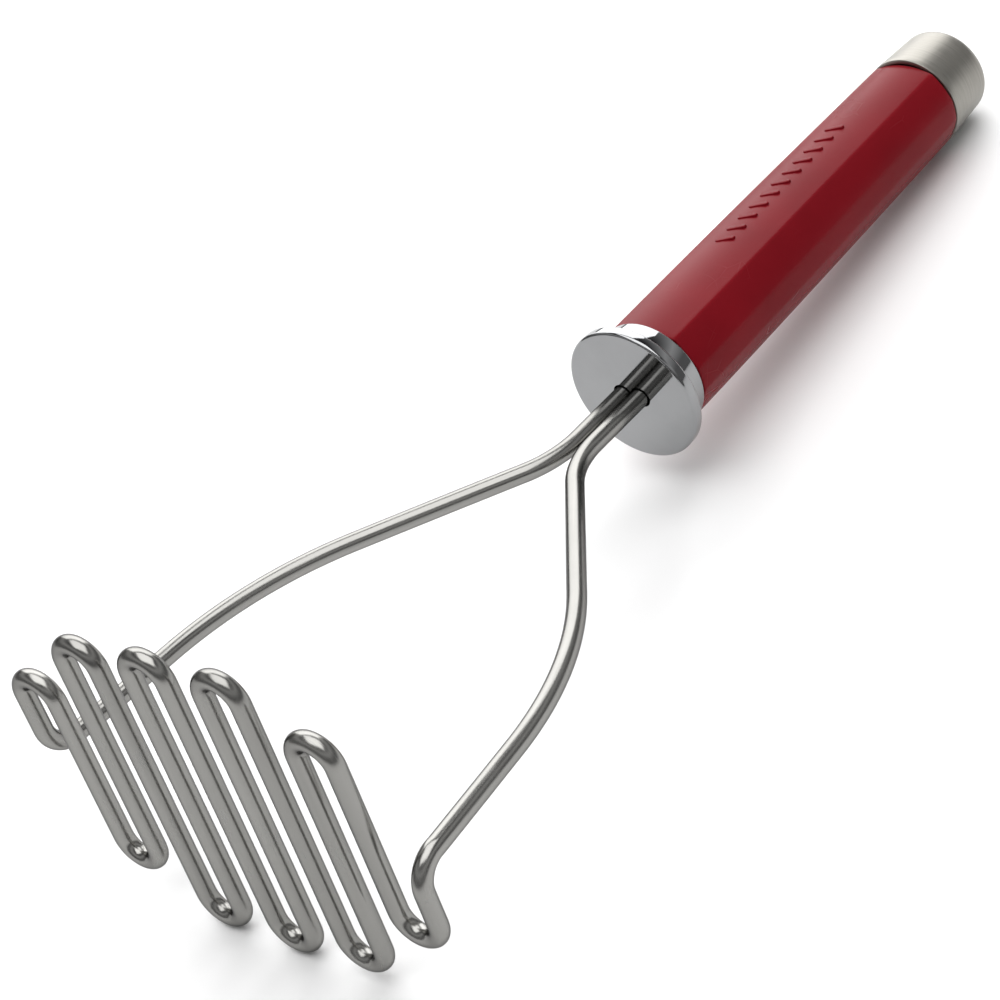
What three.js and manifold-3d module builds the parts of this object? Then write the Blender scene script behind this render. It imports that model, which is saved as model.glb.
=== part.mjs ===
// Wire masher: one bent steel wire that forms a zigzag head and two legs, a polished bolster, a
// faceted plastic grip on a core, and a brushed end cap.  Millimetres, +Z up.
// The tool is drawn along X, with the head's plane at x = 0 and the end cap at high x.  It is then
// tipped about Y until it lies on the floor on its lower bends and the rim of its cap.
import * as THREE from 'three';
import { mergeVertices } from 'three/addons/utils/BufferGeometryUtils.js';
import Module from 'manifold-3d';

const wasm = await Module();
wasm.setup();

// ---- wire ----
const WIRE_D = 4;            // diameter of the wire
const PITCH = 9.3;             // distance between neighbouring strands
const HEAD_H = 71.4;           // height of the head over its middle bends
const BEND_DROPS = [0, 0, 1.9, 8.8, 15.1];  // how much lower each bend is, from the middle outwards
const HEAD_LEAN_Y = 1.6;       // how far the head sits off the grip's axis, across the strands
const HEAD_LEAN_Z = 1.4;       // and along them
const HEEL_R = 6;              // bend from an edge strand into its leg, on the wire's centre line
const LEG_Z = [-1.5, 0.5];     // where each leg starts off the head's middle, towards its edge bend
const TOE_IN_DEG = 5;          // how much a leg points inwards as it leaves its heel
const SHOULDER_X = 31.5;       // where a leg starts to turn inwards
const SHOULDER_R = 76;         // radius of that turn
const NECK_R = 21;             // radius of the turn that brings the legs side by side
const NECK_STRAIGHT = 16;      // straight length in front of the bolster
const TANG_GAP = 0.45;         // space between the two tangs
const TANG_LEN = 58;           // length of a tang behind the bolster's face

// ---- bolster ----
const BOLSTER_X = 129;         // head's plane to the bolster's face
const DISC_D = 31;             // polished disc
const DISC_T = 2.8;            // its thickness
const DISC_EDGE_R = 0.7;       // rounding of its edges
const GROOVE_W = 0.6;          // groove between disc and collar
const GROOVE_DEPTH = 0.8;
const COLLAR_T = 4.8;          // collar between groove and grip
const SPIGOT_LEN = 7;          // plug of the bolster inside the grip
const SPIGOT_WALL = 4;         // what the spigot is smaller than the grip, on each side

// ---- grip ----
const GRIP_LEN = 104.5;
const GRIP_D = 24.8;           // over the edges between the facets, at the bolster
const GRIP_END_D = 23;         // the same at the cap
const TAPER_POWER = 1.7;       // 1 tapers evenly, more tapers mostly near the cap
const TOP_FACE_DEG = 80;       // how much of the round the top facet takes, and the bottom one
const SIDE_FACE_DEG = 24;      // how much each side facet takes
const FACE_BULGE = 0.35;       // at the bolster: 0 is a flat facet, 1 a round bar
const END_BULGE = 0.6;         // the same at the cap
const GRIP_WALL = 3.4;         // thickness of the shell at its edges
const GRIP_CHAMFER = 0.3;      // on its outer edges
const MARK_COUNT = 11;         // raised ribs on the top facet
const MARK_STEP = 4.4;
const MARK_PLACE = 0.53;       // middle of their row, as a share of the grip's length
const MARK_LEN = 4.6;
const MARK_W = 1.3;
const MARK_RISE = 0.35;
const MARK_SLANT_DEG = 20;
const MARK_SHIFT = 1.3;        // how far the row sits off the facet's middle line

// ---- cap ----
const CAP_LEN = 16;
const CAP_TAPER = 1.4;         // how much narrower its rounded end starts than its mouth
const CAP_EDGE_R = 3.2;        // rounding of the cap's end
const CAP_WALL = 1;
const PLUG_LEN = 16;           // insert that carries the cap
const PLUG_IN_CAP = 7;         // how much of it is inside the cap
const SCREW_D = 3.4;
const SCREW_LEN = 22;
const SCREW_HEAD_D = 6.4;
const SCREW_HEAD_T = 1.8;

// ---- fits ----
const GAP = 0.3;               // between pieces that meet
const HOLE_CLEAR = 0.35;       // between the wire and its holes

const SIDES = 14;              // sides of the wire's section
const ROUND = 64;              // sides of turned pieces
const RINGS = 14;              // steps along the grip

const rad = THREE.MathUtils.degToRad;

// ---------- solids ----------

// A closed mesh with its corners merged, as manifold-3d needs it.
function solid(geometry) {
  const g = geometry.clone();
  g.deleteAttribute('normal');
  g.deleteAttribute('uv');
  const m = mergeVertices(g, 1e-4);
  const index = m.index.array;
  const keep = [];
  for (let i = 0; i < index.length; i += 3) {
    const [a, b, c] = [index[i], index[i + 1], index[i + 2]];
    if (a !== b && b !== c && c !== a) keep.push(a, b, c);
  }
  return new wasm.Manifold(new wasm.Mesh({
    numProp: 3,
    vertProperties: new Float32Array(m.attributes.position.array),
    triVerts: new Uint32Array(keep),
  }));
}

function fromSolid(manifold) {
  const mesh = manifold.getMesh();
  const g = new THREE.BufferGeometry();
  g.setAttribute('position', new THREE.BufferAttribute(mesh.vertProperties, 3));
  g.setIndex(new THREE.BufferAttribute(mesh.triVerts, 1));
  g.computeVertexNormals();
  return g;
}

// A turned piece about X.  The profile is [x, radius] pairs that start and end on the axis.
function turned(profile, sides = ROUND) {
  const points = profile.map(([x, r]) => new THREE.Vector2(r, x));
  return new THREE.LatheGeometry(points, sides).rotateZ(-Math.PI / 2);
}

function rod(x0, x1, radius, sides = 32) {
  return turned([[x0, 0], [x0, radius], [x1, radius], [x1, 0]], sides);
}

// Quarter round for a profile, from one angle to another about a centre.
function fillet(cx, cr, radius, fromDeg, toDeg, steps = 5) {
  const out = [];
  for (let i = 0; i <= steps; i += 1) {
    const a = rad(fromDeg + (toDeg - fromDeg) * i / steps);
    out.push([cx + radius * Math.cos(a), cr + radius * Math.sin(a)]);
  }
  return out;
}

// ---------- wire ----------

// A curve through ready stations, so that bends get many steps and straights few.
class StationCurve extends THREE.Curve {
  constructor(points, tangents) {
    super();
    this.points = points;
    this.tangents = tangents;
  }
  at(list, t, target) {
    const s = t * (list.length - 1);
    const i = Math.min(Math.floor(s + 1e-9), list.length - 2);
    return target.copy(list[i]).lerp(list[i + 1], s - i);
  }
  getPoint(t, target = new THREE.Vector3()) { return this.at(this.points, t, target); }
  getPointAt(t, target = new THREE.Vector3()) { return this.at(this.points, t, target); }
  getTangent(t, target = new THREE.Vector3()) { return this.at(this.tangents, t, target).normalize(); }
  getTangentAt(t, target = new THREE.Vector3()) { return this.getTangent(t, target); }
}

// Walks a wire: straights and circular bends, each with its stations.
class Bender {
  constructor(start, heading) {
    this.p = start.clone();
    this.t = heading.clone().normalize();
    this.points = [this.p.clone()];
    this.tangents = [this.t.clone()];
  }
  station() {
    this.points.push(this.p.clone());
    this.tangents.push(this.t.clone());
  }
  straight(length, steps = 1) {
    for (let i = 0; i < steps; i += 1) {
      this.p.addScaledVector(this.t, length / steps);
      this.station();
    }
  }
  bend(radius, degrees, axis, steps) {
    const side = axis.clone().cross(this.t).normalize();
    const centre = this.p.clone().addScaledVector(side, radius);
    const arm = this.p.clone().sub(centre);
    const heading = this.t.clone();
    for (let i = 1; i <= steps; i += 1) {
      const a = rad(degrees) * i / steps;
      this.p = centre.clone().add(arm.clone().applyAxisAngle(axis, a));
      this.t = heading.clone().applyAxisAngle(axis, a);
      this.station();
    }
  }
}

const HALF_WIRE = WIRE_D / 2;
const TURN_R = PITCH / 2;
const TANG_Y = (WIRE_D + TANG_GAP) / 2;

// Height of the wire's centre line where the bend in this place starts, counted from the middle.
function bendStart(place) {
  return HEAD_H / 2 - BEND_DROPS[place] - HALF_WIRE - TURN_R;
}

// Half the wire, from the middle of the middle strand to the end of one tang.
function halfWire(legZ) {
  const X = new THREE.Vector3(1, 0, 0);
  const Y = new THREE.Vector3(0, 1, 0);
  const Z = new THREE.Vector3(0, 0, 1);
  const w = new Bender(new THREE.Vector3(), Z);
  for (let place = 0; place < BEND_DROPS.length; place += 1) {
    const up = place % 2 === 0;
    const goal = bendStart(place) * (up ? 1 : -1);
    w.straight(Math.abs(goal - w.p.z), place === 0 ? 2 : 3);
    w.bend(TURN_R, 180, X.clone().multiplyScalar(up ? -1 : 1), 12);
  }
  // the edge strand runs towards the middle and turns into the leg
  const edgeUp = Math.sign(w.p.z);
  w.straight(Math.abs(w.p.z) - legZ - HEEL_R, 1);
  w.bend(HEEL_R, 90, Y.clone().multiplyScalar(-edgeUp), 9);
  // seen along the strands, a leg is a straight, an outer turn, a slanted straight and an inner turn
  const toe = rad(TOE_IN_DEG);
  w.bend(HEEL_R, TOE_IN_DEG, Z.clone().negate(), 1);
  w.straight((SHOULDER_X - w.p.x) / Math.cos(toe), 3);
  const radii = SHOULDER_R + NECK_R;
  const run = BOLSTER_X - NECK_STRAIGHT - SHOULDER_X + SHOULDER_R * Math.sin(toe);
  const rise = w.p.y - TANG_Y - SHOULDER_R * Math.cos(toe) - NECK_R;
  const slant = Math.sqrt(run * run + rise * rise - radii * radii);
  const turn = Math.atan2(rise, run) + Math.atan2(radii, slant);
  w.bend(SHOULDER_R, THREE.MathUtils.radToDeg(turn - toe), Z.clone().negate(), 12);
  w.straight(slant, 3);
  w.bend(NECK_R, THREE.MathUtils.radToDeg(turn), Z, 9);
  w.straight(BOLSTER_X + TANG_LEN - w.p.x, 6);
  // and it moves over to the height of the tangs on its way
  const legStart = legZ * edgeUp;
  w.points.forEach((p) => {
    if (p.x > HEEL_R) p.z -= legStart * THREE.MathUtils.smoothstep(p.x, HEEL_R, BOLSTER_X - NECK_STRAIGHT);
  });
  return w;
}

function wirePath() {
  const [half, other] = LEG_Z.map(halfWire);
  const turnOver = (v, sign) => new THREE.Vector3(v.x * sign, -v.y * sign, -v.z * sign);
  const points = other.points.slice(1).reverse().map((p) => turnOver(p, 1)).concat(half.points);
  const tangents = other.tangents.slice(1).reverse().map((t) => turnOver(t, -1)).concat(half.tangents);
  // the legs carry the head off the grip's axis, evenly from the bolster
  points.forEach((p) => {
    const lean = THREE.MathUtils.clamp(1 - p.x / BOLSTER_X, 0, 1);
    p.y += HEAD_LEAN_Y * lean;
    p.z += HEAD_LEAN_Z * lean;
  });
  return new StationCurve(points, tangents);
}

function wireGeometry() {
  const path = wirePath();
  const section = new THREE.Shape();
  for (let i = 0; i < SIDES; i += 1) {
    const a = 2 * Math.PI * i / SIDES;
    const [x, y] = [HALF_WIRE * Math.cos(a), HALF_WIRE * Math.sin(a)];
    if (i === 0) section.moveTo(x, y); else section.lineTo(x, y);
  }
  section.closePath();
  return new THREE.ExtrudeGeometry(section, {
    steps: path.points.length - 1, extrudePath: path, curveSegments: 1,
  });
}

// ---------- bolster ----------

const COLLAR_X = BOLSTER_X + DISC_T + GROOVE_W;
const GRIP_X = COLLAR_X + COLLAR_T + GAP;
const GRIP_END_X = GRIP_X + GRIP_LEN;
const CAP_X = GRIP_END_X + GAP;
const CAP_END_X = CAP_X + CAP_LEN;
const BORE_R = GRIP_END_D / 2 - GRIP_WALL;
const CAP_END_D = GRIP_END_D - CAP_TAPER;

function tangHoles(x0, x1, clearance) {
  const hole = solid(rod(x0, x1, HALF_WIRE + clearance, 28));
  return hole.translate([0, TANG_Y, 0]).add(hole.translate([0, -TANG_Y, 0]));
}

function bolsterGeometry() {
  const r = DISC_D / 2;
  const e = DISC_EDGE_R;
  const collar = GRIP_D / 2;
  const spigot = Math.min(GRIP_D / 2 - SPIGOT_WALL, BORE_R - GAP);
  const groove = collar - GROOVE_DEPTH;
  const back = BOLSTER_X + DISC_T;
  const end = COLLAR_X + COLLAR_T;
  const profile = [
    [BOLSTER_X, 0],
    ...fillet(BOLSTER_X + e, r - e, e, 180, 90),
    ...fillet(back - e, r - e, e, 90, 0),
    [back, groove], [COLLAR_X, groove], [COLLAR_X, collar - 0.3], [COLLAR_X + 0.3, collar],
    [end - 0.3, collar], [end, collar - 0.3],
    [end, spigot], [end + SPIGOT_LEN, spigot], [end + SPIGOT_LEN, 0],
  ];
  const body = solid(turned(profile));
  return fromSolid(body.subtract(tangHoles(BOLSTER_X - 1, end + SPIGOT_LEN + 1, HOLE_CLEAR)));
}

// ---------- grip ----------

function gripDiameter(along) {
  return GRIP_D + (GRIP_END_D - GRIP_D) * along ** TAPER_POWER;
}

// Edges of the eight facets around the grip, from the first side facet on.
const SIDE_EDGE = rad(SIDE_FACE_DEG / 2);
const TOP_EDGE = Math.PI / 2 - rad(TOP_FACE_DEG / 2);
const FACET_EDGES = [-SIDE_EDGE, SIDE_EDGE, TOP_EDGE, Math.PI - TOP_EDGE, Math.PI - SIDE_EDGE,
  Math.PI + SIDE_EDGE, Math.PI + TOP_EDGE, 2 * Math.PI - TOP_EDGE, 2 * Math.PI - SIDE_EDGE];

// Radius of the grip in one direction, a share of its length from the bolster.  The facets' edges
// lie on a circle and each facet bulges part of the way out to it.
function gripRadius(angle, along) {
  const a = angle < -SIDE_EDGE - 1e-6 ? angle + 2 * Math.PI : angle;
  const next = FACET_EDGES.findIndex((edge, i) => i > 0 && edge >= a - 1e-6);
  const [from, to] = [FACET_EDGES[next - 1], FACET_EDGES[next]];
  const r = gripDiameter(along) / 2;
  const chord = r * Math.cos((to - from) / 2) / Math.cos(a - (from + to) / 2);
  return chord + (r - chord) * THREE.MathUtils.lerp(FACE_BULGE, END_BULGE, along);
}

function gripOutline() {
  const points = [];
  FACET_EDGES.slice(1).forEach((to, i) => {
    const from = FACET_EDGES[i];
    const steps = Math.max(3, Math.round((to - from) / rad(9)));
    for (let k = 0; k < steps; k += 1) {
      const a = from + (to - from) * k / steps;
      const r = gripRadius(a, 0);
      points.push(new THREE.Vector2(r * Math.cos(a), r * Math.sin(a)));
    }
  });
  return points;
}

function gripBody() {
  const shape = new THREE.Shape(gripOutline());
  const geometry = new THREE.ExtrudeGeometry(shape, {
    depth: GRIP_LEN, steps: RINGS, bevelEnabled: false, curveSegments: 1,
  });
  // the taper, the changing bulge, and a small chamfer between the end rings and their neighbours
  const position = geometry.attributes.position;
  for (let i = 0; i < position.count; i += 1) {
    const ring = Math.round(position.getZ(i) / GRIP_LEN * RINGS);
    const end = ring === 0 || ring === RINGS;
    const inner = GRIP_CHAMFER + (GRIP_LEN - 2 * GRIP_CHAMFER) * (ring - 1) / (RINGS - 2);
    const z = end ? position.getZ(i) : inner;
    const angle = Math.atan2(position.getY(i), position.getX(i));
    const r = gripRadius(angle, THREE.MathUtils.clamp(z / GRIP_LEN, 0, 1)) - (end ? GRIP_CHAMFER : 0);
    position.setXYZ(i, r * Math.cos(angle), r * Math.sin(angle), z);
  }
  const toX = new THREE.Matrix4().makeBasis(
    new THREE.Vector3(0, 1, 0), new THREE.Vector3(0, 0, 1), new THREE.Vector3(1, 0, 0));
  geometry.applyMatrix4(toX).translate(GRIP_X, 0, 0);
  return solid(geometry);
}

// One slanted rib of the row on the top facet.
function markGeometry(x) {
  const top = gripRadius(Math.PI / 2, (x - GRIP_X) / GRIP_LEN);
  const shape = new THREE.Shape();
  const [h, w] = [MARK_LEN / 2 - MARK_W / 2, MARK_W / 2];
  shape.absarc(0, h, w, 0, Math.PI, false);
  shape.absarc(0, -h, w, Math.PI, 2 * Math.PI, false);
  shape.closePath();
  const depth = 1.6;
  return new THREE.ExtrudeGeometry(shape, { depth, bevelEnabled: false, curveSegments: 5 })
    .rotateZ(rad(MARK_SLANT_DEG)).translate(x, 0, top + MARK_RISE - depth)
    .rotateX(-MARK_SHIFT / top);
}

function gripGeometry() {
  let grip = gripBody();
  for (let i = 0; i < MARK_COUNT; i += 1) {
    const x = GRIP_X + GRIP_LEN * MARK_PLACE + (i - (MARK_COUNT - 1) / 2) * MARK_STEP;
    grip = grip.add(solid(markGeometry(x)));
  }
  return fromSolid(grip.subtract(solid(rod(GRIP_X - 1, GRIP_END_X + 1, BORE_R, ROUND))));
}

function coreGeometry() {
  const x0 = COLLAR_X + COLLAR_T + SPIGOT_LEN + GAP;
  const x1 = GRIP_END_X - (PLUG_LEN - PLUG_IN_CAP) - GAP;
  const core = solid(rod(x0, x1, BORE_R - GAP, 48));
  const bored = core.subtract(tangHoles(x0 - 1, BOLSTER_X + TANG_LEN + 1, HOLE_CLEAR));
  const screw = solid(rod(CAP_X + PLUG_IN_CAP - SCREW_LEN - 1, x1 + 1, SCREW_D / 2 + GAP, 24));
  return fromSolid(bored.subtract(screw));
}

// ---------- cap ----------

// Outer radius of the cap at a distance from the grip, before its rounded end.
function capRadius(x) {
  return (GRIP_END_D + (CAP_END_D - GRIP_END_D) * x / (CAP_LEN - CAP_EDGE_R)) / 2;
}

function plugGeometry() {
  const x0 = GRIP_END_X - (PLUG_LEN - PLUG_IN_CAP);
  const inGrip = BORE_R - GAP;
  const inCap = capRadius(PLUG_IN_CAP) - CAP_WALL - GAP;
  const x2 = CAP_X + PLUG_IN_CAP;
  const profile = [[x0, 0], [x0, inGrip], [CAP_X, inGrip], [CAP_X, inCap], [x2, inCap], [x2, 0]];
  const bore = solid(rod(x0 - 1, x2 + 1, SCREW_D / 2 + GAP, 24));
  return fromSolid(solid(turned(profile, 48)).subtract(bore));
}

function screwGeometry() {
  const head = CAP_X + PLUG_IN_CAP + GAP;
  const r = SCREW_D / 2;
  return turned([
    [head - SCREW_LEN, 0], [head - SCREW_LEN, r * 0.6], [head - SCREW_LEN + 1.2, r],
    [head, r], [head, SCREW_HEAD_D / 2], [head + SCREW_HEAD_T * 0.6, SCREW_HEAD_D / 2],
    [head + SCREW_HEAD_T, SCREW_HEAD_D * 0.35], [head + SCREW_HEAD_T, 0],
  ], 24);
}

function capGeometry() {
  const r = CAP_END_D / 2;
  const mouth = GRIP_END_D / 2;
  const e = CAP_EDGE_R;
  return turned([
    [CAP_X, mouth - CAP_WALL], [CAP_X, mouth - 0.2], [CAP_X + 0.2, mouth],
    ...fillet(CAP_END_X - e, r - e, e, 90, 0, 7),
    [CAP_END_X, 0], [CAP_END_X - CAP_WALL, 0],
    ...fillet(CAP_END_X - e, r - e, e - CAP_WALL, 0, 90, 5),
    [CAP_X, mouth - CAP_WALL],
  ]);
}

// ---------- scene graph ----------

function mesh(name, geometry, color, roughness, metalness) {
  const m = new THREE.Mesh(geometry, new THREE.MeshStandardMaterial({ color, roughness, metalness }));
  m.name = name;
  return m;
}

// Angle at which the lower bends and the rounded rim of the cap touch the floor together.
function layDownAngle() {
  const headZ = HEAD_H / 2 - HALF_WIRE - HEAD_LEAN_Z;
  const capZ = CAP_END_D / 2 - CAP_EDGE_R;
  const a = headZ - capZ;
  const b = CAP_END_X - CAP_EDGE_R;
  const c = CAP_EDGE_R - HALF_WIRE;
  return Math.acos(c / Math.hypot(a, b)) - Math.atan2(b, a);
}

const tool = new THREE.Group();
tool.add(
  mesh('masher_wire', wireGeometry(), 0xb9bbbd, 0.22, 1),
  mesh('bolster', bolsterGeometry(), 0xd6d8da, 0.06, 1),
  mesh('grip_shell', gripGeometry(), 0x9c1f30, 0.3, 0),
  mesh('grip_core', coreGeometry(), 0x1c1c1e, 0.6, 0),
  mesh('cap_plug', plugGeometry(), 0x1c1c1e, 0.6, 0),
  mesh('cap_screw', screwGeometry(), 0x9a9c9e, 0.35, 1),
  mesh('end_cap', capGeometry(), 0xbdbab4, 0.35, 1),
);

const lay = layDownAngle();
tool.rotation.y = lay;
tool.updateMatrixWorld(true);

// the row's origin is under the middle of the box
const box = new THREE.Box3();
tool.traverse((node) => {
  if (node.isMesh) {
    const position = node.geometry.attributes.position;
    const v = new THREE.Vector3();
    for (let i = 0; i < position.count; i += 1) {
      box.expandByPoint(v.fromBufferAttribute(position, i).applyMatrix4(node.matrixWorld));
    }
  }
});
tool.position.set(-(box.min.x + box.max.x) / 2, -(box.min.y + box.max.y) / 2, -box.min.z);

const group = new THREE.Group();
group.name = 'wire_masher';
group.add(tool);
group.updateMatrixWorld(true);

export default group;
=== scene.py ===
import math

import bmesh
import bpy
from bpy.props import FloatProperty, FloatVectorProperty, IntProperty, PointerProperty
from mathutils import Matrix, Vector


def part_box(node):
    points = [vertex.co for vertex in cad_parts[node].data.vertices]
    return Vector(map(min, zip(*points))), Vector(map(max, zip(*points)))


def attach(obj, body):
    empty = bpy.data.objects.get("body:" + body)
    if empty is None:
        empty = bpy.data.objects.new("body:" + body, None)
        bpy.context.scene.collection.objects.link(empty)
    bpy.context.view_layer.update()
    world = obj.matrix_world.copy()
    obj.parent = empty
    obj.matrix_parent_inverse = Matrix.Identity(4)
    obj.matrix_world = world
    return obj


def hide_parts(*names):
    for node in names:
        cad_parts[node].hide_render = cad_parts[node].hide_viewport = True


bl_info = {
    "name": "Wire Masher",
    "version": (1, 0, 0),
    "blender": (4, 5, 0),
    "location": "3D View > Sidebar > Masher",
    "description": "Bent wire, polished bolster, faceted grip and brushed cap around the packed frame",
    "category": "Object",
}

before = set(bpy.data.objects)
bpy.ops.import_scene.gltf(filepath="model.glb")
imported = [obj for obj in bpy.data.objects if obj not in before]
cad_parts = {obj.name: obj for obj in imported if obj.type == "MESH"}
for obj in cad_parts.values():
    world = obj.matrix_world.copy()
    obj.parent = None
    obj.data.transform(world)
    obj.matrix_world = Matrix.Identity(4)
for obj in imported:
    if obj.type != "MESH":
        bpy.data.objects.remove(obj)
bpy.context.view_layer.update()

MM = 0.001
BODY = "root"
CAD_WIRE_R = 2 * MM  # half the wire in the CAD mesh, a hair more than the one drawn here
HALF_TURN = Vector((1, -1, -1))  # about the grip's axis
X, Y, Z = Vector((1, 0, 0)), Vector((0, 1, 0)), Vector((0, 0, 1))

MERGE = 1e-7  # points closer than this become one
TURNED_SIDES = 192
HOLE_SIDES = 64
GRIP_SIDES = 320
GRIP_RINGS = 60
EDGE_SPREAD = math.radians(1.6)  # how far to each side an edge between facets is softened
RIB_ROOT = 0.6 * MM  # how deep a rib reaches into the grip
RIB_DOME = ((0.97, 0.55), (0.86, 0.88), (0.62, 1.0))  # width and height, as shares of the rib's

# the surroundings, as (height of the direction, colour): low, halfway up and near overhead
LOW_STOP = (0.25, (0.26, 0.26, 0.26, 1))
MIDDLE_STOP = (0.52, (0.8, 0.8, 0.8, 1))
HIGH_STOP = (0.76, (0.07, 0.07, 0.072, 1))
WORLD_STRENGTH = 0.8

# the camera's right, up and back, each as (along the grip's axis, across the strands, along them)
CAMERA_AXES = ((0.585, -0.759, -0.287), (0.601, 0.167, 0.782), (-0.545, -0.63, 0.553))
CAMERA_CLIP = (0.01, 30.0)
SENSOR = 36.0  # millimetres, as the lens is


def length(name, description, millimetres, low=0.0):
    """A size in metres, given here in millimetres."""
    return FloatProperty(name=name, description=description, default=millimetres * MM, min=low,
                         precision=5, subtype="DISTANCE", unit="LENGTH")


def degrees(name, description, value):
    return FloatProperty(name=name, description=description, default=math.radians(value),
                         subtype="ANGLE", unit="ROTATION")


def position(name, description, metres):
    return FloatVectorProperty(name=name, description=description, default=metres, size=3,
                               subtype="TRANSLATION", precision=4)


def sides_of(name, description, metres):
    """The two sides of a rectangle."""
    return FloatVectorProperty(name=name, description=description, default=metres, size=2,
                               min=0.0, unit="LENGTH")


def colour(name, description, value):
    return FloatVectorProperty(name=name, description=description, default=value, size=3,
                               min=0.0, max=1.0, subtype="COLOR")


# ---------- sizes and colours ----------

class WireSizes(bpy.types.PropertyGroup):
    """The one wire that makes the head, the legs and the tangs."""
    diameter: length("Diameter", "Thickness of the wire", 3.94)
    pitch: length("Pitch", "Distance between neighbouring strands", 9.3)
    head_height: length("Head Height", "Height of the head over its middle bends", 71.4)
    drops: FloatVectorProperty(name="Bend Drops", size=5, unit="LENGTH", precision=5,
                               description="How much lower each bend is, from the middle outwards",
                               default=(0, 0, 1.9 * MM, 8.8 * MM, 15.1 * MM))
    lean_y: length("Lean Across", "How far the head sits off the grip's axis, across the strands", 1.6)
    lean_z: length("Lean Along", "How far the head sits off the grip's axis, along the strands", 1.4)
    heel_radius: length("Heel Radius", "Bend from an edge strand into its leg", 6)
    leg_z: FloatVectorProperty(name="Leg Starts", size=2, unit="LENGTH", precision=5,
                               description="Where each leg starts, towards its edge bend",
                               default=(-1.5 * MM, 0.5 * MM))
    toe_in: degrees("Toe In", "How much a leg points inwards as it leaves its heel", 5)
    shoulder_x: length("Shoulder", "Where a leg starts to turn inwards", 31.5)
    shoulder_radius: length("Shoulder Radius", "Radius of the outer turn of a leg", 76)
    neck_radius: length("Neck Radius", "Radius of the turn that brings the legs side by side", 21)
    neck_straight: length("Neck", "Straight length in front of the bolster", 16)
    tang_gap: length("Tang Gap", "Space between the two tangs", 0.45)
    tang_length: length("Tang Length", "Length of a tang behind the bolster's face", 58)
    sides: IntProperty(name="Sides", description="Faces around the wire", default=36, min=8)


class BolsterSizes(bpy.types.PropertyGroup):
    """The polished disc and collar between wire and grip."""
    face_x: length("Face", "Distance from the head's plane to the bolster's face", 129)
    disc_diameter: length("Disc Diameter", "Width of the polished disc", 31)
    disc_thickness: length("Disc Thickness", "Thickness of the polished disc", 2.8)
    edge_radius: length("Edge Radius", "Rounding of the disc's edges", 0.7)
    groove_width: length("Groove Width", "Groove between disc and collar", 0.6)
    groove_depth: length("Groove Depth", "Depth of the groove below the collar", 0.8)
    groove_corner: length("Groove Corner", "Bevel of the groove's corners", 0.1)
    collar_thickness: length("Collar", "Collar between groove and grip", 4.8)
    collar_edge: length("Collar Edge", "Rounding of the collar's edges", 0.35)
    spigot_length: length("Spigot", "Part of the bolster inside the grip", 7)
    hole_clearance: length("Hole Clearance", "Space around each wire where it enters", 0.35)


class GripSizes(bpy.types.PropertyGroup):
    """The faceted grip and the row of ribs on it."""
    length: length("Length", "Length of the grip", 104.5)
    diameter: length("Diameter", "Over the edges between the facets, at the bolster", 24.8)
    end_diameter: length("End Diameter", "Over the edges between the facets, at the cap", 23)
    taper_power: FloatProperty(name="Taper Power", default=1.7, min=1.0,
                               description="1 tapers evenly, more tapers mostly near the cap")
    top_face: degrees("Top Facet", "How much of the round the top facet takes", 80)
    side_face: degrees("Side Facet", "How much of the round a side facet takes", 24)
    bulge: FloatProperty(name="Facet Bulge", default=0.35, min=0.0, max=1.0, subtype="FACTOR",
                         description="At the bolster: 0 is a flat facet, 1 a round bar")
    end_bulge: FloatProperty(name="End Bulge", default=0.6, min=0.0, max=1.0, subtype="FACTOR",
                             description="The same at the cap")
    wall: length("Wall", "Thickness of the grip around its bore", 3.4)
    lip: length("Lip", "Rounding of the grip's two ends", 0.3)
    rib_count: IntProperty(name="Ribs", description="Raised ribs on the top facet", default=11, min=0)
    rib_step: length("Rib Step", "Distance between ribs", 4.4)
    rib_place: FloatProperty(name="Rib Place", default=0.53, min=0.0, max=1.0, subtype="FACTOR",
                             description="Middle of the row, as a share of the grip's length")
    rib_length: length("Rib Length", "Length of a rib", 4.6)
    rib_width: length("Rib Width", "Width of a rib", 1.3)
    rib_rise: length("Rib Rise", "Height of a rib over the facet", 0.33)
    rib_slant: degrees("Rib Slant", "How far a rib is turned from across the grip", 20)
    rib_shift: length("Rib Shift", "How far the row sits off the facet's middle line", 1.3)


class CapSizes(bpy.types.PropertyGroup):
    """The brushed cap on the grip's end."""
    length: length("Length", "Length of the cap", 15.97)
    taper: length("Taper", "How much narrower its rounded end starts than its mouth", 1.42)
    edge_radius: length("Edge Radius", "Rounding of the cap's end", 3.2)
    lip: length("Lip", "Rounding of the cap's mouth", 0.25)
    wall: length("Wall", "Thickness of the cap", 1)
    plug: length("Plug", "Part of the cap's plug that is inside the grip", 9)
    gap: length("Gap", "Seam between pieces that meet", 0.3)


class Finishes(bpy.types.PropertyGroup):
    """The colours of the materials."""
    wire: colour("Wire", "Drawn stainless steel", (0.29, 0.286, 0.273))
    bolster: colour("Bolster", "Mirror polish", (0.3, 0.303, 0.308))
    grip: colour("Grip", "Glossy moulded plastic", (0.182, 0.0055, 0.0105))
    cap: colour("Cap", "Satin stainless steel", (0.3, 0.288, 0.262))
    core: colour("Core", "Black plastic inside the grip", (0.03, 0.03, 0.032))
    screw: colour("Screw", "Plain steel inside the cap", (0.5, 0.5, 0.5))
    floor: colour("Floor", "Pale floor", (0.93, 0.93, 0.93))


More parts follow.
